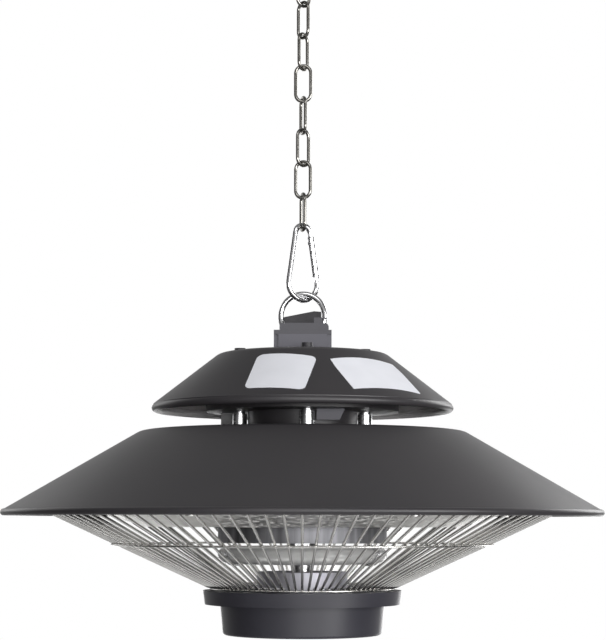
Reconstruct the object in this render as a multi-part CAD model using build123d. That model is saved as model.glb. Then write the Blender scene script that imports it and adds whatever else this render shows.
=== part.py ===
from build123d import *
import math
import os

# A round patio heater that hangs from a ceiling on a chain.
# Sizes are in millimetres and Z points up. The origin is the middle of the
# top face of the ceiling plate, and everything hangs below it. The person
# who looks at the heater stands on the -Y side.

# Ceiling plate with a hook under it
plate_radius = 30.0
plate_thickness = 3.0
plate_hole_radius = 2.25
plate_hole_circle = 44.0
plate_hole_count = 4
hook_wire = 5.0
hook_inner_radius = 7.0
hook_stem_length = 7.0
hook_foot_radius = 7.0
hook_foot_thickness = 2.0
hook_tip_angle = 5.0
hook_twist = -50.0

# Chain of long links made of round wire
chain_wire = 2.5
link_inner_length = 24.1
link_outer_width = 13.6
link_twists = [40.0, -50.0, 57.0, -8.0, -73.0, 44.0, -16.0, -76.0]

# What hangs is drawn this far from what holds it
hang_gap = 0.3

# Pear-shaped spring hook that joins the chain to the ring
carabiner_wire = 4.0
carabiner_length = 58.5
carabiner_top_width = 17.0
carabiner_bottom_width = 28.3
carabiner_twist = 33.0
gate_radius = 2.6
gate_end_gap = 0.4
gate_pin_radius = 0.75
pin_clearance = 0.05
pin_end_inset = 0.2
lug_thickness = 2.0
lug_width = 3.8
lug_slot_gap = 0.3
lug_shoulder_gap = 0.4
nose_width = 3.0
nose_length = 3.4
nose_slot_extra = 1.1
gate_spring_radius = 1.1
gate_spring_wall = 0.4
gate_spring_length = 11.5
gate_spring_gap = 0.3

# Ring that carries the heater
ring_outer = 36.0
ring_wire = 4.0
ring_twist = -8.0

# Bracket in the terminal box that the ring runs through
eye_height = 11.5
eye_radius = 2.8
eye_drop = 0.5
bracket_thickness = 3.0
bracket_width = 12.0
bracket_crown = 4.5
bracket_base_length = 26.0
bracket_base_width = 14.0
bracket_base_thickness = 2.0
bracket_screw_spacing = 18.0

# Small fasteners
m4_radius = 2.0
m4_head_radius = 4.0
m4_head_height = 3.1
m4_nut_radius = 3.9
m4_nut_height = 3.2
washer_radius = 4.5
washer_thickness = 0.8
screw_clearance = 0.2
thread_tail = 1.5
m3_radius = 1.5
m3_head_radius = 2.75
m3_head_height = 1.7

# Terminal box on top of the upper hood
box_width = 41.0
box_depth = 46.0
box_shift = 3.0
box_height = 12.6
box_wall = 2.0
box_floor_thickness = 2.0
box_step_width = 3.2
box_step_depth = 1.5
pillar_radius = 3.0
pillar_inset_x = 4.2
pillar_inset_y = 5.2
lid_thickness = 3.0
lid_screw_length = 9.0
lid_head_gap = 0.2
ring_slot_length = 33.6
ring_slot_width = 14.6
ridge_width = 35.0
ridge_depth = 8.0
ridge_height = 5.3
ridge_shift = 1.0
ridge_front_inset = 3.0
ridge_round = 3.0
latch_post_width = 6.0
latch_post_shift = 11.0
latch_thickness = 1.8
latch_rise = 4.0
latch_reach = 17.2
latch_finger_height = 1.0
latch_inset = 1.4

# Sloping cable outlet on the back of the lid
outlet_left = 13.9
outlet_right = 13.5
outlet_peak = 8.2
outlet_low_height = 12.6
outlet_high_height = 17.0
outlet_end_height = 16.6
outlet_front = 12.3
outlet_depth = 12.0
outlet_wall = 1.6
outlet_window_width = 14.0
gland_height = 7.6
gland_shift = 1.5
gland_radius = 5.0
gland_bore_radius = 3.6
gland_length = 10.0
gland_flange_radius = 6.2
gland_flange_thickness = 1.5

# Upper hood
upper_hood_radius = 107.8
upper_shoulder_radius = 59.8
upper_hood_height = 39.3
upper_curl_radius = 2.8
upper_curl_drop = 4.12
upper_sheet_end = 1.2
shoulder_round = 10.0
sheet = 1.0
curl_opening = 1.6
lead_hole_radius = 5.0
lead_hole_offset = 14.0

# Blank labels on the upper hood
label_thickness = 0.25
label_gap = 0.03
left_label_width = 41.5
left_label_height = 41.5
left_label_round = 4.5
left_label_azimuth = -10.2
left_label_radius = 83.7
left_label_turn = -3.9
right_label_width = 56.4
right_label_height = 36.7
right_label_round = 0.8
right_label_azimuth = 36.4
right_label_radius = 84.5
right_label_turn = -2.3

# Wiring pan under the upper hood and the spacers below it
pan_radius = 69.0
pan_wall = 1.0
pan_hood_gap = 0.4
pan_opening_radius = 30.0
standoff_circle = 90.0
standoff_count = 4
standoff_first_angle = 4.0
standoff_radius = 5.25
standoff_neck_radius = 4.2
standoff_neck_height = 1.5
standoff_length = 14.1
spacer_radius = 4.0
column_radius = 39.2
column_wall = 1.2
duct_width = 12.7
duct_depth = 14.0
duct_wall = 1.2
duct_shift_x = -52.35
duct_shift_y = 14.0
cover_left = 9.8
cover_right = 29.3
cover_slant = 3.5
cover_front = 43.0
cover_thickness = 3.0
cover_height = 7.6
block_width = 30.0
block_depth = 14.0
block_height = 12.0
block_distance = 48.0
block_angle = 49.0
block_pole_count = 3
block_pole_radius = 2.6
block_pole_depth = 4.0
cutout_radius = 8.0
cutout_height = 6.0
cutout_tab_length = 8.0
cutout_tab_width = 6.3
cutout_tab_thickness = 0.8
cutout_shift_x = 45.0
cutout_shift_y = -20.0

# Main hood
hood_spacing = 55.9
main_hood_radius = 212.5
main_shoulder_radius = 115.7
main_hood_height = 57.5
main_curl_radius = 2.4
main_curl_drop = 2.24
main_curl_rise = 0.1
main_sheet_end = 1.2

# Centre tube, its nuts and the shield plate. Depths are below the rim plane.
tube_radius = 6.0
tube_bore = 4.0
tube_top_rise = 8.0
tube_tail = 1.5
tube_nut_radius = 10.0
tube_nut_height = 5.0
tube_clearance = 0.2
shield_radius = 160.0
shield_depth = 0.7
shield_thickness = 0.8

# Hammered reflector and polished drum
reflector_depth = 10.0
reflector_thickness = 0.8
reflector_inner_radius = 58.5
reflector_outer_radius = 150.0
reflector_lip_width = 10.0
reflector_slope_width = 28.0
reflector_slope_radius = reflector_outer_radius - reflector_lip_width
reflector_flat_radius = reflector_slope_radius - reflector_slope_width
rivet_circle = reflector_outer_radius + reflector_slope_radius
rivet_count = 6
rivet_head_radius = 3.2
rivet_head_height = 1.4
drum_radius = 60.0
drum_flange_radius = 62.5
drum_depth = 21.0
drum_wall = 1.0
drum_slot_gap = 0.4

# Ring-shaped halogen lamp
lamp_circle = 108.0
lamp_radius = 6.0
lamp_bore = 5.0
lamp_depth = 29.7
lamp_gap_angle = 12.0
filament_radius = 1.4
filament_gap = 0.4
support_count = 22
support_radius = 4.8
support_bore = 1.5
support_thickness = 0.6
cap_radius = 7.5
cap_angle = 7.0
cap_neck_width = 6.0
cap_neck_depth = 8.0
cap_gap = 0.3
clip_angles = [-30.0, -150.0]
clip_inner_radius = 6.2
clip_outer_radius = 7.2
clip_length_angle = 6.0
clip_tab_width = 5.0
clip_tab_thickness = 1.2
lead_radius = 1.3
lead_offset = 7.0
lead_turn_depth = 15.5
lead_inner_y = 22.0
hub_radius = 32.0
hub_height = 13.0
hub_wall = 0.8

# Wire guard
guard_wire_radius = 0.9
guard_wire_count = 96
guard_top_radius = 178.0
guard_top_depth = 0.4
guard_mid_radius = 134.0
guard_mid_depth = 20.9
guard_base_radius = 67.5
guard_base_depth = 51.5
guard_end_radius = 62.0
guard_outer_ring_radius = 2.0
guard_mid_ring_radius = 0.8
guard_base_ring_radius = 0.85
weld_gap = 0.05
guard_clip_count = 4
guard_clip_width = 12.0
guard_clip_thickness = 1.2
guard_clip_reach = 9.0

# Flange and cup below the guard
flange_gap = 0.4
flange_top_radius = 70.2
flange_bottom_radius = 69.0
flange_height = 9.6
flange_wall = 1.5
flange_lip_radius = 47.0
cup_top_radius = 58.0
cup_bottom_radius = 56.0
cup_height = 21.3
cup_wall = 1.5
cup_round = 2.0
cup_screw_circle = 104.0
cup_screw_count = 3
cup_screw_length = 9.0
boss_radius = 2.9
boss_height = 12.0
base_ring_depth = guard_base_depth + guard_wire_radius + weld_gap + guard_base_ring_radius
flange_depth = base_ring_depth + guard_base_ring_radius + flange_gap
hub_depth = flange_depth - hub_height
tube_end_depth = flange_depth + flange_wall + tube_nut_height + tube_tail


def cone_slope(run, drop):
    """Slope in degrees of a hood's cone, which runs from the shoulder to the rolled rim."""
    return math.degrees(math.atan2(drop, run))


# The parts hang in one line, so each level follows from the one above it.
hook_bend = hook_inner_radius + hook_wire / 2
hook_top = -(plate_thickness + hook_foot_thickness + hook_stem_length)
hook_level = hook_top - 2 * hook_bend
link_bend = (link_outer_width - chain_wire) / 2
link_reach = link_inner_length + chain_wire
link_pitch = link_inner_length - hang_gap
first_link_top = hook_level + (hook_wire + chain_wire) / 2 + hang_gap
link_middles = [
    first_link_top - link_reach / 2 - index * link_pitch
    for index in range(len(link_twists))
]
link_bottoms = [middle - link_reach / 2 for middle in link_middles]
carabiner_top = link_bottoms[-1] + (chain_wire + carabiner_wire) / 2 + hang_gap
carabiner_bottom = carabiner_top - (carabiner_length - carabiner_wire)
ring_bend = (ring_outer - ring_wire) / 2
ring_top = carabiner_bottom + (carabiner_wire + ring_wire) / 2 + hang_gap
ring_middle = ring_top - ring_bend
eye_level = ring_middle - ring_bend
upper_top = eye_level - eye_height
box_top = upper_top + box_height
lid_top = box_top + lid_thickness
bracket_top = eye_level + bracket_crown
upper_curl_level = upper_top - upper_hood_height
upper_slope = cone_slope(
    upper_hood_radius - upper_curl_radius - upper_shoulder_radius,
    upper_hood_height - upper_curl_drop,
)
main_slope = cone_slope(
    main_hood_radius - main_curl_radius - main_shoulder_radius,
    main_hood_height - main_curl_rise - main_curl_drop,
)
main_top = upper_top - hood_spacing
pan_bottom = main_top + standoff_length
rim_level = main_top - main_hood_height
shield_level = rim_level - shield_depth
reflector_level = rim_level - reflector_depth
drum_level = rim_level - drum_depth
lamp_level = rim_level - lamp_depth
hub_level = rim_level - hub_depth
flange_level = rim_level - flange_depth
cup_level = flange_level - flange_height

# Carabiner outline: two arcs joined by two straight legs
carabiner_top_bend = (carabiner_top_width - carabiner_wire) / 2
carabiner_bottom_bend = (carabiner_bottom_width - carabiner_wire) / 2
top_bend_level = carabiner_top - carabiner_top_bend
bottom_bend_level = carabiner_bottom + carabiner_bottom_bend
bend_spacing = top_bend_level - bottom_bend_level
leg_lean = math.asin((carabiner_bottom_bend - carabiner_top_bend) / bend_spacing)
leg_length = bend_spacing * math.cos(leg_lean)
lean_degrees = math.degrees(leg_lean)
leg_out = (math.cos(leg_lean), 0, math.sin(leg_lean))
leg_down = (math.sin(leg_lean), 0, -math.cos(leg_lean))
leg_start = (carabiner_top_bend * leg_out[0], 0, top_bend_level + carabiner_top_bend * leg_out[2])
leg_end = (carabiner_bottom_bend * leg_out[0], 0, bottom_bend_level + carabiner_bottom_bend * leg_out[2])
gate_pin_distance = 2 * lug_shoulder_gap + lug_thickness + gate_radius
lug_shoulder = gate_pin_distance - gate_radius - lug_shoulder_gap
gate_slot_end = gate_pin_distance + lug_width / 2 + 2 * lug_shoulder_gap
gate_end = leg_length - gate_end_gap
nose_slot_start = leg_length - nose_length - nose_slot_extra


def block(width, depth, low, high, x=0, y=0):
    """An upright box from one level to another."""
    return Pos(x, y, (low + high) / 2) * Box(width, depth, high - low)


def rod(radius, low, high, x=0, y=0):
    """An upright round bar from one level to another."""
    return Pos(x, y, (low + high) / 2) * Cylinder(radius, high - low)


def pipe(radius, bore, low, high, x=0, y=0):
    """An upright round bar with a hole along it."""
    return rod(radius, low, high, x, y) - rod(bore, low, high, x, y)


def bar(start, end, radius):
    """A round bar between two points."""
    line = Vector(*end) - Vector(*start)
    place = Plane(origin=start, z_dir=line)
    return place * Pos(0, 0, line.length / 2) * Cylinder(radius, line.length)


def ball(centre, radius):
    return Pos(*centre) * Sphere(radius)


def bend(bend_radius, wire_radius, first, last):
    """A bent round bar in the XZ plane, its angles counted from +X towards +Z."""
    section = Pos(bend_radius, 0) * Circle(wire_radius)
    arc = revolve(section, Axis((0, 0, 0), (0, -1, 0)), last - first)
    return Rot(0, -first, 0) * arc


def level_arc(bend_radius, wire_radius, level, first, last):
    """A bent round bar that lies level, its angles counted from +X towards +Y."""
    section = Plane.XZ * Pos(bend_radius, 0) * Circle(wire_radius)
    arc = revolve(section, Axis.Z, last - first)
    return Pos(0, 0, level) * Rot(0, 0, first) * arc


def level_ring(bend_radius, wire_radius, level):
    return Pos(0, 0, level) * Torus(bend_radius, wire_radius)


def spin(sketch):
    """Turns a profile, drawn as radius and height, into a round solid."""
    return revolve(Plane.XZ * sketch, Axis.Z, 360)


def outline(*points):
    return make_face(Polyline(*points, close=True))


def polar(radius, degrees):
    """X and Y of a point on a circle."""
    angle = math.radians(degrees)
    return radius * math.cos(angle), radius * math.sin(angle)


def around(shape, count, first=0):
    """Copies of a shape, spread evenly round the vertical axis."""
    return [Rot(0, 0, first + index * 360 / count) * shape for index in range(count)]


def group(shapes):
    return Compound([shape.solid() for shape in shapes])


def ceiling_plate():
    plate = rod(plate_radius, -plate_thickness, 0)
    hole = rod(plate_hole_radius, -plate_thickness, 0, plate_hole_circle / 2)
    return plate - around(hole, plate_hole_count, 180 / plate_hole_count)


def ceiling_hook():
    foot_bottom = -(plate_thickness + hook_foot_thickness)
    foot = rod(hook_foot_radius, foot_bottom, -plate_thickness)
    stem = rod(hook_wire / 2, hook_top, foot_bottom)
    middle = hook_top - hook_bend
    arc = Pos(0, 0, middle) * bend(hook_bend, hook_wire / 2, 90, 360 + hook_tip_angle)
    corner = ball((0, 0, hook_top), hook_wire / 2)
    tip_x, tip_z = polar(hook_bend, hook_tip_angle)
    tip = ball((tip_x, 0, middle + tip_z), hook_wire / 2)
    return Rot(0, 0, hook_twist) * (foot + stem + arc + corner + tip)


def chain_link(index):
    half = link_reach / 2 - link_bend
    wire = chain_wire / 2
    top = Pos(0, 0, half) * bend(link_bend, wire, 0, 180)
    bottom = Pos(0, 0, -half) * bend(link_bend, wire, 180, 360)
    legs = rod(wire, -half, half, link_bend) + rod(wire, -half, half, -link_bend)
    link = top + legs + bottom
    return Pos(0, 0, link_middles[index]) * Rot(0, 0, link_twists[index]) * link


def gate_leg():
    """Frame on the open leg: its Z runs down the leg and its X points outwards."""
    return Plane(origin=leg_start, x_dir=leg_out, z_dir=leg_down)


def cross_rod(radius, length, distance):
    """A round bar across the open leg."""
    return Pos(0, 0, distance) * Rot(90, 0, 0) * Cylinder(radius, length)


def carabiner_frame():
    wire = carabiner_wire / 2
    top = Pos(0, 0, top_bend_level) * bend(
        carabiner_top_bend, wire, lean_degrees, 180 - lean_degrees
    )
    bottom = Pos(0, 0, bottom_bend_level) * bend(
        carabiner_bottom_bend, wire, 180 - lean_degrees, 360 + lean_degrees
    )
    leg = bar((-leg_start[0], 0, leg_start[2]), (-leg_end[0], 0, leg_end[2]), wire)
    stub = rod(wire, 0, lug_shoulder)
    lug = block(lug_width, lug_thickness, lug_shoulder, gate_pin_distance)
    lug_end = cross_rod(lug_width / 2, lug_thickness, gate_pin_distance)
    pin_hole = cross_rod(gate_pin_radius + pin_clearance, lug_thickness, gate_pin_distance)
    nose = block(nose_width, lug_thickness, leg_length - nose_length, leg_length)
    ends = gate_leg() * (stub + lug + lug_end + nose - pin_hole)
    return Rot(0, 0, carabiner_twist) * (top + leg + bottom + ends)


def gate_slot(low, high):
    return block(2 * gate_radius, lug_thickness + 2 * lug_slot_gap, low, high)


def carabiner_gate():
    barrel = rod(gate_radius, gate_pin_distance, gate_end)
    head = rod(gate_radius, gate_pin_distance - gate_radius, gate_pin_distance)
    head = head & cross_rod(gate_radius, 2 * gate_radius, gate_pin_distance)
    hinge_slot = gate_slot(gate_pin_distance - gate_radius, gate_slot_end)
    nose_slot = gate_slot(nose_slot_start, gate_end)
    pin_hole = cross_rod(gate_pin_radius + pin_clearance, 2 * gate_radius, gate_pin_distance)
    spring_bore = rod(
        gate_spring_radius + gate_spring_gap, gate_slot_end, gate_slot_end + gate_spring_length
    )
    gate = barrel + head - hinge_slot - nose_slot - pin_hole - spring_bore
    return Rot(0, 0, carabiner_twist) * (gate_leg() * gate)


def gate_pin():
    pin = cross_rod(gate_pin_radius, 2 * (gate_radius - pin_end_inset), gate_pin_distance)
    return Rot(0, 0, carabiner_twist) * (gate_leg() * pin)


def gate_spring():
    start = gate_slot_end - gate_spring_gap
    spring = pipe(
        gate_spring_radius, gate_spring_radius - gate_spring_wall, start, start + gate_spring_length
    )
    return Rot(0, 0, carabiner_twist) * (gate_leg() * spring)


def hanging_ring():
    ring = Rot(90, 0, 0) * Torus(ring_bend, ring_wire / 2)
    return Pos(0, 0, ring_middle) * Rot(0, 0, ring_twist) * ring


def bracket_points():
    return [(side * bracket_screw_spacing / 2, 0) for side in (-1, 1)]


def ring_bracket():
    bottom = upper_top + box_floor_thickness
    base_top = bottom + bracket_base_thickness
    base = block(bracket_base_length, bracket_base_width, bottom, base_top)
    upright = block(bracket_thickness, bracket_width, base_top, bracket_top)
    eye = Pos(0, 0, eye_level - eye_drop) * Rot(0, 90, 0) * Cylinder(eye_radius, bracket_thickness)
    holes = [rod(m4_radius + screw_clearance, bottom, base_top, x, y) for x, y in bracket_points()]
    return base + upright - eye - holes


def bracket_screws():
    seat = upper_top + box_floor_thickness + bracket_base_thickness
    tip = upper_top - sheet - m4_nut_height - thread_tail
    return group(
        [
            rod(m4_radius, tip, seat, x, y) + rod(m4_head_radius, seat, seat + m4_head_height, x, y)
            for x, y in bracket_points()
        ]
    )


def nut(top, x, y, shank):
    """A hexagon nut hanging below a level."""
    low = top - m4_nut_height
    hexagon = extrude(RegularPolygon(m4_nut_radius, 6), m4_nut_height)
    return Pos(x, y, low) * hexagon - rod(shank, low, top, x, y)


def small_nuts():
    shank = m4_radius + pin_clearance
    bracket = [nut(upper_top - sheet, x, y, shank) for x, y in bracket_points()]
    tie = [nut(main_top - sheet, x, y, shank) for x, y in standoff_points()]
    return group(bracket + tie)


def pillar_points():
    half_x = box_width / 2 - pillar_inset_x
    half_y = box_depth / 2 - pillar_inset_y
    return [(i * half_x, box_shift + j * half_y) for i in (-1, 1) for j in (-1, 1)]


def lead_hole(radius, low, high):
    """Hole that the supply leads pass through."""
    return rod(radius, low, high, 0, lead_hole_offset)


def terminal_box():
    floor_top = upper_top + box_floor_thickness
    shell = block(box_width, box_depth, upper_top, box_top, 0, box_shift)
    cavity = block(
        box_width - 2 * box_wall, box_depth - 2 * box_wall - box_step_depth,
        floor_top, box_top, 0, box_shift + box_step_depth / 2,
    )
    front = box_shift - box_depth / 2 + box_step_depth / 2
    edge = (box_width - box_step_width) / 2
    steps = [
        block(box_step_width, box_step_depth, upper_top, box_top, side * edge, front)
        for side in (-1, 1)
    ]
    pillars = [rod(pillar_radius, upper_top, box_top, x, y) for x, y in pillar_points()]
    threads = [
        rod(m3_radius + pin_clearance, box_top - lid_screw_length, box_top, x, y)
        for x, y in pillar_points()
    ]
    holes = [
        rod(m4_radius + screw_clearance, upper_top, floor_top, x, y) for x, y in bracket_points()
    ]
    body = shell - steps - cavity + pillars
    return body - threads - holes - lead_hole(lead_hole_radius, upper_top, floor_top)


def outlet_window(low, high):
    """Opening from the cable outlet down into the box."""
    depth = outlet_depth - 2 * outlet_wall
    middle = outlet_front + outlet_depth / 2
    return block(outlet_window_width, depth, low, high, gland_shift, middle)


def front_ridge():
    middle = box_shift - box_depth / 2 + ridge_front_inset + ridge_depth / 2
    ridge = block(ridge_width, ridge_depth, lid_top, lid_top + ridge_height, ridge_shift, middle)
    top_edges = ridge.edges().filter_by(Axis.Y).group_by(Axis.Z)[-1]
    return fillet(top_edges.sort_by(Axis.X)[-1], ridge_round)


def box_lid():
    plate = block(box_width, box_depth, box_top, lid_top, 0, box_shift)
    slot = block(ring_slot_length, ring_slot_width, box_top, lid_top)
    holes = [
        rod(m3_radius + screw_clearance, box_top, lid_top, x, y)
        + rod(m3_head_radius + screw_clearance, lid_top - m3_head_height - lid_head_gap, lid_top, x, y)
        for x, y in pillar_points()
    ]
    middle = box_shift - box_depth / 2 + ridge_front_inset + ridge_depth / 2
    ridge_top = lid_top + ridge_height
    post_y = middle - ridge_depth / 2 + latch_inset + latch_thickness / 2
    finger_top = ridge_top + latch_rise
    finger_start = latch_post_shift - latch_post_width / 2
    post = block(latch_post_width, latch_thickness, ridge_top, finger_top, latch_post_shift, post_y)
    finger = block(
        latch_reach - finger_start, latch_thickness, finger_top - latch_finger_height, finger_top,
        (latch_reach + finger_start) / 2, post_y,
    )
    lid = plate - slot - outlet_window(box_top, lid_top) + front_ridge() + post + finger
    return lid - holes


def lid_screws():
    seat = lid_top - m3_head_height
    return group(
        [
            rod(m3_radius, seat - lid_screw_length + lid_thickness, seat, x, y)
            + rod(m3_head_radius, seat, lid_top, x, y)
            for x, y in pillar_points()
        ]
    )


def gland_place():
    """Frame at the back of the cable outlet: its Z points out of the back."""
    back = outlet_front + outlet_depth
    return Plane(origin=(gland_shift, back, lid_top + gland_height), z_dir=(0, 1, 0))


def cable_outlet():
    face = outline(
        (-outlet_left, 0),
        (outlet_right, 0),
        (outlet_right, outlet_end_height),
        (outlet_peak, outlet_high_height),
        (-outlet_left, outlet_low_height),
    )
    place = Plane(origin=(0, outlet_front + outlet_depth, lid_top), x_dir=(1, 0, 0), z_dir=(0, -1, 0))
    hood = extrude(place * face, outlet_depth)
    room = lid_top + outlet_low_height - outlet_wall
    seat = rod(gland_radius + screw_clearance, gland_flange_thickness - gland_length, 0)
    return hood - outlet_window(lid_top, room) - gland_place() * seat


def cord_gland():
    sleeve = rod(gland_radius, gland_flange_thickness - gland_length, 0)
    flange = rod(gland_flange_radius, 0, gland_flange_thickness)
    bore = rod(gland_bore_radius, gland_flange_thickness - gland_length, gland_flange_thickness)
    return gland_place() * (sleeve + flange - bore)


def curl(radius, level, curl_radius):
    """Profile of a rolled sheet edge, open on its inner side."""
    place = Pos(radius - curl_radius, level)
    ring = Circle(curl_radius) - Circle(curl_radius - sheet)
    slit = Pos(-curl_radius + sheet / 2, 0) * Rectangle(2 * sheet, curl_opening)
    return place * (ring - slit)


def cone_drop(radius, shoulder, slope):
    """How far below the flat top a hood's outer face is at a radius."""
    return (radius - shoulder) * math.tan(math.radians(slope))


def cone_sheet(inner, outer, top, shoulder, slope):
    """Profile of a hood: a flat top and then a straight slope."""
    thick = sheet / math.cos(math.radians(slope))
    low = top - cone_drop(outer, shoulder, slope)
    inner_shoulder = shoulder - sheet * math.tan(math.radians(slope / 2))
    face = outline(
        (inner, top),
        (shoulder, top),
        (outer, low),
        (outer, low - thick),
        (inner_shoulder, top - sheet),
        (inner, top - sheet),
    )
    corners = face.vertices().sort_by_distance((shoulder, top, 0))
    rounded = fillet(corners[0], shoulder_round)
    inside = rounded.vertices().sort_by_distance((inner_shoulder, top - sheet, 0))
    return fillet(inside[0], shoulder_round - sheet)


def hood(radius, shoulder, slope, top, curl_level, curl_radius, sheet_end):
    """A spun sheet hood with a flat top and a rolled rim."""
    profile = cone_sheet(0, radius - sheet_end, top, shoulder, slope)
    return spin(profile + curl(radius, curl_level, curl_radius))


def standoff_points():
    angles = [standoff_first_angle + index * 360 / standoff_count for index in range(standoff_count)]
    return [polar(standoff_circle / 2, angle) for angle in angles]


def upper_hood():
    shape = hood(
        upper_hood_radius, upper_shoulder_radius, upper_slope, upper_top,
        upper_curl_level, upper_curl_radius, upper_sheet_end,
    )
    points = standoff_points() + bracket_points()
    holes = [rod(m4_radius + screw_clearance, upper_top - sheet, upper_top, x, y) for x, y in points]
    return shape - holes - lead_hole(lead_hole_radius, upper_top - sheet, upper_top)


def label(width, height, corner, azimuth, radius, turn):
    """A thin blank label that follows the slope of the upper hood."""
    slope = math.radians(upper_slope)
    direction = math.radians(azimuth - 90)
    out = (math.cos(direction), math.sin(direction))
    normal = (out[0] * math.sin(slope), out[1] * math.sin(slope), math.cos(slope))
    level = upper_top - cone_drop(radius, upper_shoulder_radius, upper_slope)
    across = (-out[1], out[0], 0)
    place = Plane(origin=(radius * out[0], radius * out[1], level), x_dir=across, z_dir=normal)
    patch = extrude(RectangleRounded(width, height, corner), upper_curl_radius, both=True)
    low_step = label_gap / math.cos(slope)
    high_step = (label_gap + label_thickness) / math.cos(slope)
    drop = cone_drop(upper_hood_radius, upper_shoulder_radius, upper_slope)
    skin = spin(
        outline(
            (upper_shoulder_radius, upper_top + low_step),
            (upper_shoulder_radius, upper_top + high_step),
            (upper_hood_radius, upper_top - drop + high_step),
            (upper_hood_radius, upper_top - drop + low_step),
        )
    )
    return skin & (place * Rot(0, 0, turn) * patch)


def label_left():
    return label(
        left_label_width, left_label_height, left_label_round,
        left_label_azimuth, left_label_radius, left_label_turn,
    )


def label_right():
    return label(
        right_label_width, right_label_height, right_label_round,
        right_label_azimuth, right_label_radius, right_label_turn,
    )


def tie_bolts():
    seat = upper_top + washer_thickness
    tip = main_top - sheet - m4_nut_height - thread_tail
    return group(
        [
            rod(m4_radius, tip, seat, x, y) + rod(m4_head_radius, seat, seat + m4_head_height, x, y)
            for x, y in standoff_points()
        ]
    )


def tie_washers():
    bore = m4_radius + screw_clearance
    return group(
        [
            pipe(washer_radius, bore, upper_top, upper_top + washer_thickness, x, y)
            for x, y in standoff_points()
        ]
    )


def spacer_tubes():
    bore = m4_radius + screw_clearance
    return group(
        [
            pipe(spacer_radius, bore, pan_bottom + pan_wall, upper_top - sheet, x, y)
            for x, y in standoff_points()
        ]
    )


def control_pan():
    slope = math.radians(upper_slope)
    drop = cone_drop(pan_radius, upper_shoulder_radius, upper_slope)
    wall_top = upper_top - drop - sheet / math.cos(slope) - pan_hood_gap
    pan = rod(pan_radius, pan_bottom, wall_top)
    pan = pan - rod(pan_radius - pan_wall, pan_bottom + pan_wall, wall_top)
    holes = [
        rod(m4_radius + screw_clearance, pan_bottom, pan_bottom + pan_wall, x, y)
        for x, y in standoff_points()
    ]
    duct = block(
        duct_width - 2 * duct_wall, duct_depth - 2 * duct_wall,
        pan_bottom, pan_bottom + pan_wall, duct_shift_x, duct_shift_y,
    )
    return pan - rod(pan_opening_radius, pan_bottom, pan_bottom + pan_wall) - holes - duct


def pole_points():
    """Places of the terminal block's screws before the block is turned."""
    pitch = block_width / block_pole_count
    middle = (block_pole_count - 1) / 2
    return [((index - middle) * pitch, block_distance) for index in range(block_pole_count)]


def terminal_block():
    low = pan_bottom + pan_wall
    top = low + block_height
    body = block(block_width, block_depth, low, top, 0, block_distance)
    poles = [rod(block_pole_radius, top - block_pole_depth, top, x, y) for x, y in pole_points()]
    return Rot(0, 0, block_angle - 90) * (body - poles)


def thermal_cutout():
    low = pan_bottom + pan_wall
    body = rod(cutout_radius, low, low + cutout_height, cutout_shift_x, cutout_shift_y)
    tabs = [
        block(
            cutout_tab_thickness, cutout_tab_width, low + cutout_height,
            low + cutout_height + cutout_tab_length,
            cutout_shift_x + side * cutout_radius / 2, cutout_shift_y,
        )
        for side in (-1, 1)
    ]
    return body + tabs


def bent_lead(points):
    """An insulated lead through a list of points."""
    lead = ball(points[0], lead_radius)
    for start, end in zip(points, points[1:]):
        lead = lead + bar(start, end, lead_radius) + ball(end, lead_radius)
    return lead


def supply_leads():
    """Two leads from the terminal box to the terminal block."""
    floor = upper_top + box_floor_thickness
    turn = upper_top - box_floor_thickness - m4_nut_height
    pole_floor = pan_bottom + pan_wall + block_height - block_pole_depth + lead_radius
    poles = pole_points()
    leads = []
    for side, pole in ((-1, poles[0]), (1, poles[-1])):
        place = Rot(0, 0, block_angle - 90) * Pos(*pole)
        x, y = place.position.X, place.position.Y
        near = (side * 2 * lead_radius, lead_hole_offset, floor)
        below = (side * 2 * lead_radius, lead_hole_offset, turn)
        leads.append(bent_lead([near, below, (x, y, turn), (x, y, pole_floor)]))
    return group(leads)


def standoffs():
    bore = m4_radius + screw_clearance
    neck = pan_bottom - standoff_neck_height
    return group(
        [
            pipe(standoff_radius, bore, main_top, neck, x, y)
            + pipe(standoff_neck_radius, bore, neck, pan_bottom, x, y)
            for x, y in standoff_points()
        ]
    )


def wiring_column():
    return pipe(column_radius, column_radius - column_wall, main_top, pan_bottom)


def lead_duct():
    outer = block(duct_width, duct_depth, main_top, pan_bottom, duct_shift_x, duct_shift_y)
    inner = block(
        duct_width - 2 * duct_wall, duct_depth - 2 * duct_wall,
        main_top, pan_bottom, duct_shift_x, duct_shift_y,
    )
    return outer - inner


def cutout_cover():
    face = outline(
        (cover_left, pan_bottom),
        (cover_right, pan_bottom),
        (cover_right - cover_slant, pan_bottom - cover_height),
        (cover_left, pan_bottom - cover_height),
    )
    place = Plane(origin=(0, -cover_front + cover_thickness, 0), x_dir=(1, 0, 0), z_dir=(0, -1, 0))
    return extrude(place * face, cover_thickness)


def main_hood():
    shape = hood(
        main_hood_radius, main_shoulder_radius, main_slope, main_top,
        rim_level + main_curl_rise, main_curl_radius, main_sheet_end,
    )
    low = main_top - sheet
    holes = [rod(m4_radius + screw_clearance, low, main_top, x, y) for x, y in standoff_points()]
    leads = [rod(2 * lead_radius, low, main_top, side * lead_offset, lead_inner_y) for side in (-1, 1)]
    return shape - holes - leads - rod(tube_radius + tube_clearance, low, main_top)


def centre_tube():
    return pipe(tube_radius, tube_bore, rim_level - tube_end_depth, main_top + tube_top_rise)


def tube_nut(low):
    hexagon = extrude(RegularPolygon(tube_nut_radius, 6), tube_nut_height)
    bore = rod(tube_radius + pin_clearance, low, low + tube_nut_height)
    return Pos(0, 0, low) * hexagon - bore


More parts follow.
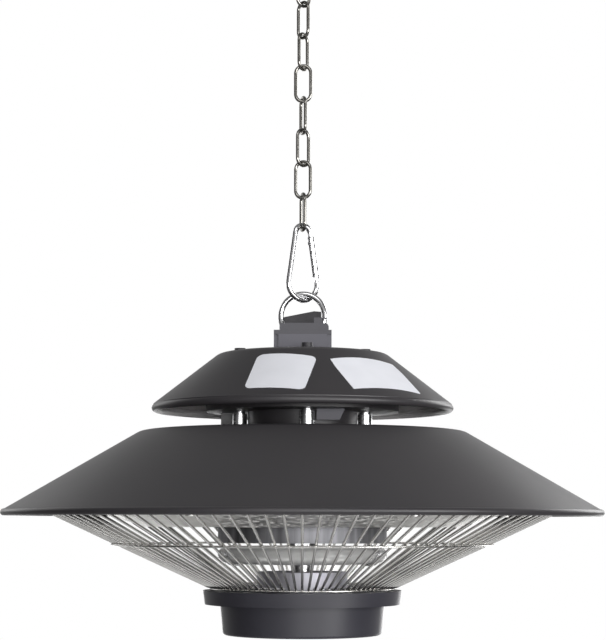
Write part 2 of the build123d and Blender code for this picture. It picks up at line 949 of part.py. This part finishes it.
def centre_nuts():
    shield_top = shield_level + shield_thickness
    lows = [
        main_top,
        main_top - sheet - tube_nut_height,
        shield_top,
        shield_level - tube_nut_height,
        drum_level - tube_nut_height,
        flange_level - flange_wall - tube_nut_height,
    ]
    return group([tube_nut(low) for low in lows])


def lead_holes(low, high):
    return [rod(2 * lead_radius, low, high, side * lead_offset, lead_inner_y) for side in (-1, 1)]


def rivet_points():
    angles = [index * 360 / rivet_count for index in range(rivet_count)]
    return [polar(rivet_circle / 2, angle) for angle in angles]


def shield_plate():
    top = shield_level + shield_thickness
    plate = pipe(shield_radius, tube_radius + tube_clearance, shield_level, top)
    holes = [rod(m3_radius + screw_clearance, shield_level, top, x, y) for x, y in rivet_points()]
    return plate - holes - lead_holes(shield_level, top)


def reflector():
    lip_low = shield_level - reflector_thickness
    flat_top = reflector_level + reflector_thickness
    pan = spin(
        outline(
            (reflector_inner_radius, reflector_level),
            (reflector_flat_radius, reflector_level),
            (reflector_slope_radius, lip_low),
            (reflector_outer_radius, lip_low),
            (reflector_outer_radius, shield_level),
            (reflector_slope_radius, shield_level),
            (reflector_flat_radius, flat_top),
            (reflector_inner_radius, flat_top),
        )
    )
    return pan - [rod(m3_radius + screw_clearance, lip_low, shield_level, x, y) for x, y in rivet_points()]


def reflector_rivets():
    lip_low = shield_level - reflector_thickness
    top = shield_level + shield_thickness
    return group(
        [
            rod(rivet_head_radius, lip_low - rivet_head_height, lip_low, x, y)
            + rod(m3_radius, lip_low, top, x, y)
            + rod(rivet_head_radius, top, top + rivet_head_height, x, y)
            for x, y in rivet_points()
        ]
    )


def reflector_drum():
    flange_low = reflector_level - drum_wall
    shell = rod(drum_radius, drum_level, reflector_level) + rod(
        drum_flange_radius, flange_low, reflector_level
    )
    inside = rod(drum_radius - drum_wall, drum_level + drum_wall, reflector_level)
    slots = [cap_neck(side, drum_slot_gap, drum_level) for side in (-1, 1)]
    centre = rod(tube_radius + tube_clearance, drum_level, drum_level + drum_wall)
    return shell - inside - slots - centre


def lamp_arc(outer, first, last):
    return level_arc(lamp_circle / 2, outer, lamp_level, first, last)


def lamp_tube():
    first = 90 + lamp_gap_angle
    last = 450 - lamp_gap_angle
    return lamp_arc(lamp_radius, first, last) - lamp_arc(lamp_bore, first, last)


def gap_degrees(length):
    """Angle that a short length takes on the lamp's circle."""
    return math.degrees(length / (lamp_circle / 2))


def lamp_filament():
    extra = gap_degrees(filament_gap)
    return lamp_arc(filament_radius, 90 + lamp_gap_angle + extra, 450 - lamp_gap_angle - extra)


def filament_supports():
    half = gap_degrees(support_thickness) / 2
    step = (360 - 2 * lamp_gap_angle) / support_count
    supports = []
    for index in range(support_count):
        middle = 90 + lamp_gap_angle + (index + 1 / 2) * step
        disc = lamp_arc(support_radius, middle - half, middle + half)
        hole = lamp_arc(support_bore, middle - half, middle + half)
        supports.append(disc - hole)
    return group(supports)


def cap_middle():
    """Angle from the back of the lamp's circle to the middle of a cap."""
    return lamp_gap_angle - gap_degrees(cap_gap) - cap_angle / 2


def cap_neck(side, extra, low):
    """Upright neck of a lamp cap that passes through the drum."""
    neck = block(
        cap_neck_depth + 2 * extra, cap_neck_width + 2 * extra,
        low, drum_level + drum_wall, lamp_circle / 2,
    )
    return Rot(0, 0, 90 + side * cap_middle()) * neck


def lamp_caps():
    half = cap_angle / 2
    caps = []
    for side in (-1, 1):
        middle = 90 + side * cap_middle()
        sleeve = lamp_arc(cap_radius, middle - half, middle + half)
        caps.append(sleeve + cap_neck(side, 0, lamp_level))
    return group(caps)


def lamp_clips():
    clips = []
    for angle in clip_angles:
        half = clip_length_angle / 2
        loop = lamp_arc(clip_outer_radius, angle - half, angle + half)
        loop = loop - lamp_arc(clip_inner_radius, angle - half, angle + half)
        low = lamp_level + (clip_inner_radius + clip_outer_radius) / 2
        tab = block(clip_tab_thickness, clip_tab_width, low, drum_level, lamp_circle / 2)
        clips.append(loop + Rot(0, 0, angle) * tab)
    return group(clips)


def lamp_leads():
    """Two leads from the lamp caps up through the centre to the wiring pan."""
    turn = rim_level - lead_turn_depth
    leads = []
    for side in (-1, 1):
        x, y = polar(lamp_circle / 2, 90 + side * cap_middle())
        start = (x, y, drum_level + drum_wall + lead_radius)
        rise = (x, y, turn)
        inner = (-side * lead_offset, lead_inner_y, turn)
        end = (-side * lead_offset, lead_inner_y, pan_bottom + pan_wall + block_height / 2)
        leads.append(bent_lead([start, rise, inner, end]))
    return group(leads)


def lamp_hub():
    shell = rod(hub_radius, flange_level, hub_level)
    inside = rod(hub_radius - hub_wall, flange_level, hub_level - hub_wall)
    return shell - inside - rod(tube_radius + tube_clearance, hub_level - hub_wall, hub_level)


def guard_corner(radius, depth):
    return (radius, 0, rim_level - depth)


def guard_wire():
    """One wire of the guard: it slopes down, bends at the middle ring and turns in."""
    points = [
        guard_corner(guard_top_radius, guard_top_depth),
        guard_corner(guard_mid_radius, guard_mid_depth),
        guard_corner(guard_base_radius, guard_base_depth),
        guard_corner(guard_end_radius, guard_base_depth),
    ]
    wire = bar(points[0], points[1], guard_wire_radius)
    for start, end in zip(points[1:], points[2:]):
        wire = wire + ball(start, guard_wire_radius) + bar(start, end, guard_wire_radius)
    return wire


def guard_wires():
    return group(around(guard_wire(), guard_wire_count))


def guard_outer_ring():
    offset = guard_wire_radius + guard_outer_ring_radius + weld_gap
    level = rim_level - guard_top_depth + offset
    return level_ring(guard_top_radius, guard_outer_ring_radius, level)


def guard_mid_ring():
    drop = guard_base_depth - guard_top_depth
    run = guard_top_radius - guard_base_radius
    angle = math.atan2(drop, run)
    offset = guard_wire_radius + guard_mid_ring_radius + weld_gap
    radius = guard_mid_radius + offset * math.sin(angle)
    level = rim_level - guard_mid_depth - offset * math.cos(angle)
    return level_ring(radius, guard_mid_ring_radius, level)


def guard_base_ring():
    """The ring under the wires' ends, which rests on the flange."""
    radius = (guard_base_radius + guard_end_radius) / 2
    return level_ring(radius, guard_base_ring_radius, rim_level - base_ring_depth)


def guard_clips():
    """Sheet hooks inside the main hood that the guard's outer ring rests in."""
    ring_level = rim_level - guard_top_depth + guard_wire_radius + guard_outer_ring_radius
    inner = guard_top_radius + guard_outer_ring_radius + weld_gap
    wall = inner + guard_clip_thickness / 2
    slope = math.radians(main_slope)
    outer = inner + guard_clip_thickness
    corner = math.hypot(outer, guard_clip_width / 2)
    hood_level = main_top - cone_drop(corner, main_shoulder_radius, main_slope)
    hood_level = hood_level - sheet / math.cos(slope) - weld_gap
    clips = []
    upright = block(guard_clip_thickness, guard_clip_width, ring_level, hood_level, wall)
    top = block(
        guard_clip_reach, guard_clip_width,
        ring_level + guard_outer_ring_radius + 2 * weld_gap,
        ring_level + guard_outer_ring_radius + 2 * weld_gap + guard_clip_thickness,
        outer - guard_clip_reach / 2,
    )
    step = 180 / guard_wire_count
    for index in range(guard_clip_count):
        angle = 45 + step + index * 360 / guard_clip_count
        clips.append(Rot(0, 0, angle) * (upright + top))
    return group(clips)


def cup_screw_points():
    angles = [90 + index * 360 / cup_screw_count for index in range(cup_screw_count)]
    return [polar(cup_screw_circle / 2, angle) for angle in angles]


def flange_ring():
    top_inner = flange_top_radius - flange_wall
    bottom_inner = flange_bottom_radius - flange_wall
    shell = spin(
        outline(
            (tube_radius + tube_clearance, flange_level),
            (flange_top_radius, flange_level),
            (flange_bottom_radius, cup_level),
            (flange_lip_radius, cup_level),
            (flange_lip_radius, cup_level + flange_wall),
            (bottom_inner, cup_level + flange_wall),
            (top_inner, flange_level - flange_wall),
            (tube_radius + tube_clearance, flange_level - flange_wall),
        )
    )
    holes = [
        rod(m3_radius + screw_clearance, cup_level, cup_level + flange_wall, x, y)
        for x, y in cup_screw_points()
    ]
    return shell - holes


def bottom_cup():
    floor = cup_level - cup_height
    outer = outline((0, cup_level), (cup_top_radius, cup_level), (cup_bottom_radius, floor), (0, floor))
    corner = outer.vertices().sort_by_distance((cup_bottom_radius, floor, 0))[0]
    shell = spin(fillet(corner, cup_round))
    room = spin(
        outline(
            (0, cup_level),
            (cup_top_radius - cup_wall, cup_level),
            (cup_bottom_radius - cup_wall, floor + cup_wall),
            (0, floor + cup_wall),
        )
    )
    bosses = [rod(boss_radius, cup_level - boss_height, cup_level, x, y) for x, y in cup_screw_points()]
    holes = [
        rod(m3_radius + pin_clearance, cup_level - boss_height + cup_wall, cup_level, x, y)
        for x, y in cup_screw_points()
    ]
    return shell - room + bosses - holes


def cup_screws():
    seat = cup_level + flange_wall
    return group(
        [
            rod(m3_radius, seat - cup_screw_length, seat, x, y)
            + rod(m3_head_radius, seat, seat + m3_head_height, x, y)
            for x, y in cup_screw_points()
        ]
    )


def chain_links():
    return {f"chain_link_{index + 1}": chain_link(index) for index in range(len(link_twists))}


makers = [
    ceiling_plate, ceiling_hook, carabiner_frame, carabiner_gate, gate_pin, gate_spring,
    hanging_ring, ring_bracket, bracket_screws, small_nuts, terminal_box, box_lid, lid_screws,
    cable_outlet, cord_gland, upper_hood, label_left, label_right, tie_bolts, tie_washers,
    spacer_tubes, control_pan, terminal_block, thermal_cutout, supply_leads, standoffs,
    wiring_column, lead_duct, cutout_cover, main_hood, centre_tube, centre_nuts, shield_plate,
    reflector, reflector_rivets, reflector_drum, lamp_tube, lamp_filament, filament_supports,
    lamp_caps, lamp_clips, lamp_leads, lamp_hub, guard_wires, guard_outer_ring, guard_mid_ring,
    guard_base_ring, guard_clips, flange_ring, bottom_cup, cup_screws,
]


def build():
    os.makedirs("parts", exist_ok=True)
    shapes = chain_links()
    for maker in makers:
        shapes[maker.__name__] = maker()
    for name, shape in shapes.items():
        export_step(shape, f"parts/{name}.step")


if __name__ == "__main__":
    build()
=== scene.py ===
import math

import bpy
from mathutils import Euler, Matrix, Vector


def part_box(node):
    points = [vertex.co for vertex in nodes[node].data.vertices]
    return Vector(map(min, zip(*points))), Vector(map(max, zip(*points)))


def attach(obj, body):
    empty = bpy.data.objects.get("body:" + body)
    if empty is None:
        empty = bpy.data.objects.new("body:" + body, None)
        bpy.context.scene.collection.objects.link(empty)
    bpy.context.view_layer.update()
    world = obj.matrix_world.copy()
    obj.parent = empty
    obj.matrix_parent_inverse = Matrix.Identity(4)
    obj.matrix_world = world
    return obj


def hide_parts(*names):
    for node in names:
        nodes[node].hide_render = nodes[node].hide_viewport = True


# A patio heater that hangs from a ceiling on a chain. Lengths are in metres.
# The CAD model is the frame: the camera's level, the lights' aim and the filament's ring come from it.
MM = 0.001

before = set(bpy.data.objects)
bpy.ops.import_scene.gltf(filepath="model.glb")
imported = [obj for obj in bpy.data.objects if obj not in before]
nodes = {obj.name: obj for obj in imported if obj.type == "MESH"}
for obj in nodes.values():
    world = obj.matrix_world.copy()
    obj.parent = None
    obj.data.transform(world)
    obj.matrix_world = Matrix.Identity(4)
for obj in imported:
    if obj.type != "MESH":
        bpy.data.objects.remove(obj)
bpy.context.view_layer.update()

# The photograph's camera: it looks up by the pitch and leans by the roll, both in degrees
photo_height_px = 640
focal_px = 1815
sensor_mm = 36.0
camera_distance = 1300 * MM
camera_drop = 4.3 * MM
camera_side = 0.2 * MM
camera_clip = 50 * MM
camera_pitch = 6.355
camera_roll = 0.1

# Soft light from the room: direction and strength, and how fast it fades away from there
room_light = [((0, -1, 0), 0.42), ((0, 1, 0), 0.60), ((0, 0, 1), 0.21), ((0, 0, -1), 0.18)]
room_light_power = 2.0

# Softboxes: name, place, width, height and watts
softboxes = [
    ("front_softbox", (0.4, -2.2, -0.42), 1.6, 0.3, 21.0),
    ("front_right_softbox", (1.5, -1.5, -0.3), 0.9, 1.0, 27.0),
    ("front_top_softbox", (0.0, -1.6, 0.9), 1.0, 0.8, 7.6),
    ("back_right_softbox", (1.4, 1.4, 0.2), 1.0, 1.2, 18.0),
    ("back_left_softbox", (-1.4, 1.4, 0.2), 1.0, 1.2, 6.4),
    ("back_low_softbox", (0.2, 2.2, -0.8), 1.8, 0.4, 9.0),
]

# A pale floor, which fades out between two shares of its radius
floor_drop = 2300 * MM
floor_radius = 2600 * MM
floor_sides = 64
floor_fade_start_share = 0.3
floor_fade_end_share = 0.95
floor_tone = 0.9
floor_roughness = 0.9

# The lamp's filament, wound along a ring that is open at the back. Half the opening is in radians.
coil_radius = 1.3 * MM
coil_wire = 0.22 * MM
coil_wire_rounding = 1
coil_pitch = 1.3 * MM
coil_half_opening = 0.23
points_per_turn = 10

# How much a face of a hood must look towards its axis to count as inside
inward_look = 0.2

# Textures: patches, grains and marks are in cells per metre, and reliefs are depths
coat_patch = 14
coat_grain = 1400
coat_relief = 0.02 * MM
coat_gloss_spread = 0.03
metal_patch = 60
metal_gloss_patch = 225
metal_grain = 900
metal_relief = 0.004 * MM
hammer_patch = 40
hammer_marks = 190
hammer_softness = 0.6
hammer_relief = 1.6 * MM
streak_grain = 160
streak_squeeze = 0.04
streak_relief = 0.3 * MM
plain_patch = 50
plain_grain = 700
plain_relief = 0.03 * MM
plain_gloss_spread = 0.04
film_grain = 400
film_relief = 0.01 * MM
quartz_patch = 90
quartz_clearness = 0.6
quartz_index = 1.46
blend_start = 0.3
blend_end = 0.7

rim_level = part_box("main_hood")[0][2]
heater_middle = Vector((0, 0, (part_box("upper_hood")[1][2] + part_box("bottom_cup")[0][2]) / 2))


# Node helpers

def new_material(name):
    """A material, its node tree and its Principled shader."""
    material = bpy.data.materials.new(name)
    material.use_nodes = True
    tree = material.node_tree
    shader = tree.nodes["Principled BSDF"]
    return material, tree, shader


def link(tree, source, target):
    tree.links.new(source, target)


def object_place(tree):
    """Places on the piece itself, in metres."""
    return tree.nodes.new("ShaderNodeTexCoord").outputs["Object"]


def noise(tree, place, scale, detail):
    """Noise at a place, its scale in cells per metre."""
    node = tree.nodes.new("ShaderNodeTexNoise")
    node.inputs["Scale"].default_value = scale
    node.inputs["Detail"].default_value = detail
    link(tree, place, node.inputs["Vector"])
    return node.outputs["Fac"]


def object_noise(tree, scale, detail):
    """Noise fixed to the piece."""
    return noise(tree, object_place(tree), scale, detail)


def upright_streaks(tree, scale, detail):
    """Noise drawn out along the piece's height, such as rolling marks."""
    squeeze = tree.nodes.new("ShaderNodeVectorMath")
    squeeze.operation = "MULTIPLY"
    squeeze.inputs[1].default_value = (1, 1, streak_squeeze)
    link(tree, object_place(tree), squeeze.inputs[0])
    return noise(tree, squeeze.outputs["Vector"], scale, detail)


def object_cells(tree, scale):
    """Smooth rounded cells fixed to the piece, such as hammer marks."""
    cells = tree.nodes.new("ShaderNodeTexVoronoi")
    cells.feature = "SMOOTH_F1"
    cells.inputs["Scale"].default_value = scale
    cells.inputs["Smoothness"].default_value = hammer_softness
    link(tree, object_place(tree), cells.inputs["Vector"])
    return cells.outputs["Distance"]


def mapped(tree, value, low, high):
    """A value from 0 to 1 brought into a range."""
    node = tree.nodes.new("ShaderNodeMapRange")
    node.inputs["To Min"].default_value = low
    node.inputs["To Max"].default_value = high
    link(tree, value, node.inputs["Value"])
    return node.outputs["Result"]


def between(tree, value, first, second):
    """A colour between two colours."""
    ramp = tree.nodes.new("ShaderNodeValToRGB")
    ramp.color_ramp.elements[0].color = (*first, 1)
    ramp.color_ramp.elements[1].color = (*second, 1)
    ramp.color_ramp.elements[0].position = blend_start
    ramp.color_ramp.elements[1].position = blend_end
    link(tree, value, ramp.inputs["Fac"])
    return ramp.outputs["Color"]


def bump(tree, shader, height, distance):
    """Relief of a given depth."""
    node = tree.nodes.new("ShaderNodeBump")
    node.inputs["Distance"].default_value = distance
    link(tree, height, node.inputs["Height"])
    link(tree, node.outputs["Normal"], shader.inputs["Normal"])


# Materials

def coated(name, dark, light, roughness):
    """Powder coat: a fine orange peel and slow changes of tone and gloss."""
    material, tree, shader = new_material(name)
    slow = object_noise(tree, coat_patch, detail=3)
    low, high = roughness - coat_gloss_spread, roughness + coat_gloss_spread
    link(tree, between(tree, slow, dark, light), shader.inputs["Base Color"])
    link(tree, mapped(tree, slow, low, high), shader.inputs["Roughness"])
    bump(tree, shader, object_noise(tree, coat_grain, detail=2), coat_relief)
    return material


def metal(name, dark, light, low, high):
    """Bare or plated metal with uneven tone, gloss and fine marks."""
    material, tree, shader = new_material(name)
    shader.inputs["Metallic"].default_value = 1.0
    slow = object_noise(tree, metal_patch, detail=4)
    gloss = object_noise(tree, metal_gloss_patch, detail=3)
    link(tree, between(tree, slow, dark, light), shader.inputs["Base Color"])
    link(tree, mapped(tree, gloss, low, high), shader.inputs["Roughness"])
    bump(tree, shader, object_noise(tree, metal_grain, detail=2), metal_relief)
    return material


def hammered(name, dark, light, low, high):
    """Bright aluminium sheet with round hammer marks."""
    material, tree, shader = new_material(name)
    shader.inputs["Metallic"].default_value = 1.0
    slow = object_noise(tree, hammer_patch, detail=2)
    link(tree, between(tree, slow, dark, light), shader.inputs["Base Color"])
    link(tree, mapped(tree, slow, low, high), shader.inputs["Roughness"])
    bump(tree, shader, object_cells(tree, hammer_marks), hammer_relief)
    return material


def streaked(name, dark, light, low, high):
    """Rolled sheet metal with upright streaks."""
    material, tree, shader = new_material(name)
    shader.inputs["Metallic"].default_value = 1.0
    streaks = upright_streaks(tree, streak_grain, detail=3)
    link(tree, between(tree, streaks, dark, light), shader.inputs["Base Color"])
    link(tree, mapped(tree, streaks, low, high), shader.inputs["Roughness"])
    bump(tree, shader, streaks, streak_relief)
    return material


def plain(name, dark, light, roughness, grain=plain_grain, relief=plain_relief):
    """Ceramic, rubber, sleeving or film."""
    material, tree, shader = new_material(name)
    slow = object_noise(tree, plain_patch, detail=3)
    fine = object_noise(tree, grain, detail=3)
    low, high = roughness - plain_gloss_spread, roughness + plain_gloss_spread
    link(tree, between(tree, slow, dark, light), shader.inputs["Base Color"])
    link(tree, mapped(tree, fine, low, high), shader.inputs["Roughness"])
    bump(tree, shader, fine, relief)
    return material


def quartz(name, dark, light, low, high):
    """Quartz glass, a little frosted."""
    material, tree, shader = new_material(name)
    shader.inputs["Transmission Weight"].default_value = quartz_clearness
    shader.inputs["IOR"].default_value = quartz_index
    slow = object_noise(tree, quartz_patch, detail=2)
    link(tree, between(tree, slow, dark, light), shader.inputs["Base Color"])
    link(tree, mapped(tree, slow, low, high), shader.inputs["Roughness"])
    return material


black = coated("black_coat", (0.030, 0.028, 0.031), (0.036, 0.033, 0.036), 0.42)
bluish = coated("cup_coat", (0.034, 0.033, 0.042), (0.041, 0.040, 0.050), 0.40)
box_grey = coated("box_coat", (0.064, 0.062, 0.078), (0.080, 0.077, 0.095), 0.45)
lid_grey = coated("lid_coat", (0.040, 0.038, 0.048), (0.052, 0.050, 0.060), 0.45)
outlet_dark = coated("outlet_coat", (0.020, 0.019, 0.023), (0.028, 0.026, 0.031), 0.55)
inner_bright = coated("hood_inside", (0.82, 0.80, 0.80), (0.90, 0.88, 0.88), 0.5)
zinc = metal("zinc_plate", (0.52, 0.52, 0.53), (0.66, 0.66, 0.67), 0.18, 0.34)
# The chain's plated steel: its colour is darkened as painted shade, standing in for the dark reflections
# on the link legs
chain_with_painted_shade = metal("chain_plate_painted_shade", (0.24, 0.23, 0.21), (0.36, 0.35, 0.33), 0.14, 0.26)
bright = metal("bright_steel", (0.68, 0.68, 0.69), (0.78, 0.78, 0.79), 0.10, 0.22)
plated_wire = metal("plated_wire", (0.66, 0.65, 0.63), (0.78, 0.77, 0.75), 0.16, 0.3)
hammered_sheet = hammered("hammered_aluminium", (0.88, 0.87, 0.85), (0.96, 0.95, 0.93), 0.26, 0.36)
drum_sheet = streaked("drum_aluminium", (0.16, 0.16, 0.17), (0.36, 0.36, 0.38), 0.44, 0.6)
hub_sheet = streaked("hub_aluminium", (0.50, 0.49, 0.54), (0.66, 0.65, 0.70), 0.5, 0.65)
tungsten = metal("tungsten", (0.20, 0.18, 0.17), (0.28, 0.26, 0.24), 0.3, 0.45)
ceramic = plain("ceramic", (0.72, 0.70, 0.65), (0.80, 0.78, 0.73), 0.55)
sleeve = plain("sleeving", (0.60, 0.57, 0.50), (0.70, 0.67, 0.60), 0.7)
rubber = plain("rubber", (0.018, 0.018, 0.018), (0.026, 0.026, 0.026), 0.6)
film = plain("label_film", (0.80, 0.81, 0.86), (0.85, 0.86, 0.91), 0.32, film_grain, film_relief)
glass = quartz("quartz", (0.93, 0.93, 0.92), (0.98, 0.98, 0.97), 0.08, 0.2)

finishes = {
    black: ["upper_hood", "main_hood", "control_pan", "wiring_column", "lead_duct"],
    bluish: ["flange_ring", "bottom_cup"],
    box_grey: ["terminal_box", "cutout_cover"],
    lid_grey: ["box_lid"],
    outlet_dark: ["cable_outlet", "tie_bolts", "tie_washers"],
    zinc: [
        "ceiling_plate", "ceiling_hook", "ring_bracket", "bracket_screws", "small_nuts", "lid_screws",
        "spacer_tubes", "standoffs", "centre_tube", "centre_nuts", "shield_plate",
        "lamp_clips", "cup_screws", "guard_clips", "gate_spring",
    ],
    chain_with_painted_shade: [name for name in nodes if name.startswith("chain_link")],
    bright: ["carabiner_frame", "carabiner_gate", "gate_pin", "hanging_ring"],
    plated_wire: ["guard_wires", "guard_outer_ring", "guard_mid_ring", "guard_base_ring"],
    hammered_sheet: ["reflector", "reflector_rivets"],
    drum_sheet: ["reflector_drum"],
    hub_sheet: ["lamp_hub"],
    tungsten: ["lamp_filament", "filament_supports"],
    ceramic: ["lamp_caps", "terminal_block", "thermal_cutout"],
    sleeve: ["lamp_leads", "supply_leads"],
    rubber: ["cord_gland"],
    film: ["label_left", "label_right"],
    glass: ["lamp_tube"],
}


def finish_node(name, material):
    data = nodes[name].data
    data.materials.clear()
    data.materials.append(material)


for material, names in finishes.items():
    for name in names:
        finish_node(name, material)


def line_inside(name, material):
    """Gives the faces that look towards a hood's axis another material."""
    data = nodes[name].data
    data.materials.append(material)
    for face in data.polygons:
        outwards = face.center.to_2d()
        if face.normal.to_2d().dot(outwards) < -inward_look * outwards.length:
            face.material_index = 1


line_inside("upper_hood", inner_bright)


# Pieces that the CAD model only stands in for

def curve_piece(name, points, radius, material):
    """A round wire along a row of points."""
    data = bpy.data.curves.new(name, "CURVE")
    data.dimensions = "3D"
    data.bevel_depth = radius
    data.bevel_resolution = coil_wire_rounding
    spline = data.splines.new("POLY")
    spline.points.add(len(points) - 1)
    for point, place in zip(spline.points, points):
        point.co = (*place, 1)
    data.materials.append(material)
    piece = bpy.data.objects.new(name, data)
    bpy.context.scene.collection.objects.link(piece)
    return piece


def filament_coil():
    """The wound filament along the lamp's open ring."""
    low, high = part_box("lamp_filament")
    middle = (low[2] + high[2]) / 2
    circle = (high[0] - low[0]) / 2 - (high[2] - low[2]) / 2
    sweep = 2 * (math.pi - coil_half_opening)
    turns = int(sweep * circle / coil_pitch)
    count = turns * points_per_turn
    points = []
    for index in range(count + 1):
        along = math.pi / 2 + coil_half_opening + sweep * index / count
        wind = 2 * math.pi * index / points_per_turn
        radius = circle + coil_radius * math.cos(wind)
        height = middle + coil_radius * math.sin(wind)
        points.append((radius * math.cos(along), radius * math.sin(along), height))
    piece = curve_piece("filament_coil", points, coil_wire, tungsten)
    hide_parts("lamp_filament")
    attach(piece, "heater")


filament_coil()


# Studio

def softbox(name, place, width, height, power):
    """A rectangular light that faces the middle of the heater."""
    data = bpy.data.lights.new(name, "AREA")
    data.shape = "RECTANGLE"
    data.size = width
    data.size_y = height
    data.energy = power
    light = bpy.data.objects.new(name, data)
    bpy.context.scene.collection.objects.link(light)
    light.location = place
    light.rotation_euler = (heater_middle - light.location).to_track_quat("-Z", "Y").to_euler()


def lobe(tree, axis, strength):
    """A soft patch of sky around one direction."""
    place = tree.nodes.new("ShaderNodeTexCoord")
    along = tree.nodes.new("ShaderNodeVectorMath")
    along.operation = "DOT_PRODUCT"
    along.inputs[1].default_value = axis
    link(tree, place.outputs["Generated"], along.inputs[0])
    ahead = tree.nodes.new("ShaderNodeMath")
    ahead.operation = "MAXIMUM"
    ahead.inputs[1].default_value = 0.0
    link(tree, along.outputs["Value"], ahead.inputs[0])
    fading = tree.nodes.new("ShaderNodeMath")
    fading.operation = "POWER"
    fading.inputs[1].default_value = room_light_power
    link(tree, ahead.outputs["Value"], fading.inputs[0])
    glow = tree.nodes.new("ShaderNodeBackground")
    link(tree, fading.outputs["Value"], glow.inputs["Strength"])
    glow.inputs["Color"].default_value = (strength, strength, strength, 1)
    return glow.outputs["Background"]


def white_world():
    """White for the camera, and for all other rays a soft room, brightest behind the heater."""
    world = bpy.data.worlds.new("studio")
    bpy.context.scene.world = world
    world.use_nodes = True
    tree = world.node_tree
    seen = tree.nodes["Background"]
    seen.inputs["Color"].default_value = (1, 1, 1, 1)
    seen.inputs["Strength"].default_value = 1.0
    room = None
    for axis, strength in room_light:
        patch = lobe(tree, axis, strength)
        if room is None:
            room = patch
            continue
        both = tree.nodes.new("ShaderNodeAddShader")
        link(tree, room, both.inputs[0])
        link(tree, patch, both.inputs[1])
        room = both.outputs["Shader"]
    path = tree.nodes.new("ShaderNodeLightPath")
    mix = tree.nodes.new("ShaderNodeMixShader")
    link(tree, path.outputs["Is Camera Ray"], mix.inputs["Fac"])
    link(tree, room, mix.inputs[1])
    link(tree, seen.outputs["Background"], mix.inputs[2])
    link(tree, mix.outputs["Shader"], tree.nodes["World Output"].inputs["Surface"])


def pale_floor():
    """A round pale floor far below, which fades into the white around it."""
    data = bpy.data.meshes.new("floor")
    turns = [2 * math.pi * index / floor_sides for index in range(floor_sides)]
    ring = [(floor_radius * math.cos(turn), floor_radius * math.sin(turn), -floor_drop) for turn in turns]
    data.from_pydata(ring, [], [tuple(range(floor_sides))])
    floor = bpy.data.objects.new("floor", data)
    bpy.context.scene.collection.objects.link(floor)
    material, tree, shader = new_material("floor_paint")
    shader.inputs["Base Color"].default_value = (floor_tone, floor_tone, floor_tone, 1)
    shader.inputs["Roughness"].default_value = floor_roughness
    flat = tree.nodes.new("ShaderNodeVectorMath")
    flat.operation = "MULTIPLY"
    flat.inputs[1].default_value = (1, 1, 0)
    link(tree, object_place(tree), flat.inputs[0])
    length = tree.nodes.new("ShaderNodeVectorMath")
    length.operation = "LENGTH"
    link(tree, flat.outputs["Vector"], length.inputs[0])
    fade = tree.nodes.new("ShaderNodeMapRange")
    fade.inputs["From Min"].default_value = floor_radius * floor_fade_start_share
    fade.inputs["From Max"].default_value = floor_radius * floor_fade_end_share
    fade.inputs["To Min"].default_value = 1.0
    fade.inputs["To Max"].default_value = 0.0
    link(tree, length.outputs["Value"], fade.inputs["Value"])
    link(tree, fade.outputs["Result"], shader.inputs["Alpha"])
    data.materials.append(material)


def photo_camera():
    data = bpy.data.cameras.new("camera")
    data.sensor_fit = "VERTICAL"
    data.sensor_height = sensor_mm
    data.sensor_width = sensor_mm
    data.lens = focal_px * sensor_mm / photo_height_px
    data.clip_start = camera_clip
    camera = bpy.data.objects.new("camera", data)
    bpy.context.scene.collection.objects.link(camera)
    camera.location = (camera_side, -camera_distance, rim_level - camera_drop)
    tilt = math.radians(90 + camera_pitch)
    roll = math.radians(camera_roll)
    look = Euler((tilt, 0, 0)).to_matrix() @ Euler((0, 0, roll)).to_matrix()
    camera.rotation_euler = look.to_euler()
    bpy.context.scene.camera = camera


white_world()
pale_floor()
photo_camera()
for name, place, width, height, power in softboxes:
    softbox(name, place, width, height, power)
bpy.context.scene.view_settings.view_transform = "Standard"
